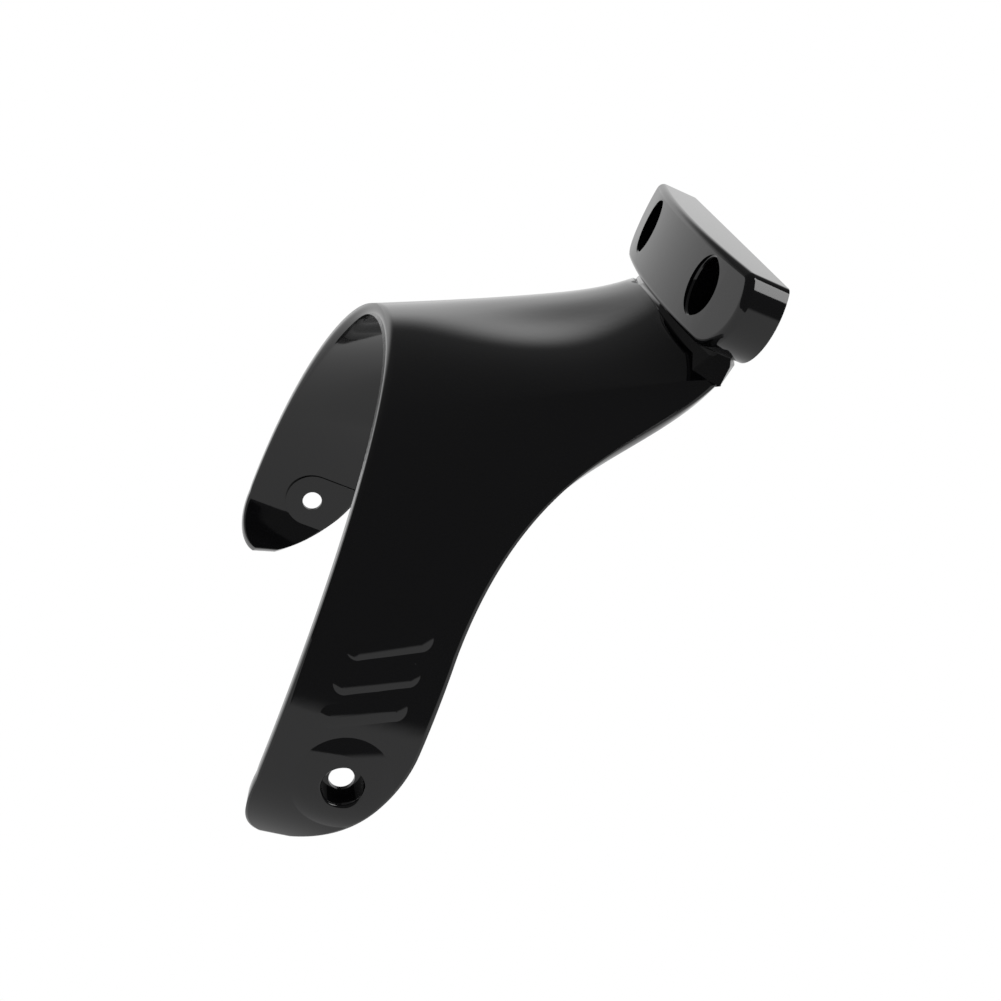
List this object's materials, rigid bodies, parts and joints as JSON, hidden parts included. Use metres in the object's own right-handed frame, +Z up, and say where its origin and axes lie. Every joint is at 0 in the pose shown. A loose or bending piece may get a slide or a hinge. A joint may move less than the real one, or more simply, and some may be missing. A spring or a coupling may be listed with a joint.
{
  "type": "headlight mounting bracket",
  "caption": "Die-cast saddle bracket that bolts to a motorcycle's fork and holds a round headlamp between its two arched arms.",
  "frame": {"origin": "on the flat back of the fork pad, midway between the two fork screws", "axes": "+X forward, towards the lamp; +Y to the rider's left, along the lamp pivot; +Z up"},
  "size_m": [0.0787, 0.1818, 0.1657],
  "materials": {
    "gloss_black": "gloss"
  },
  "bodies": {
    "root": {"bracket": "gloss_black"}
  },
  "joints": []
}
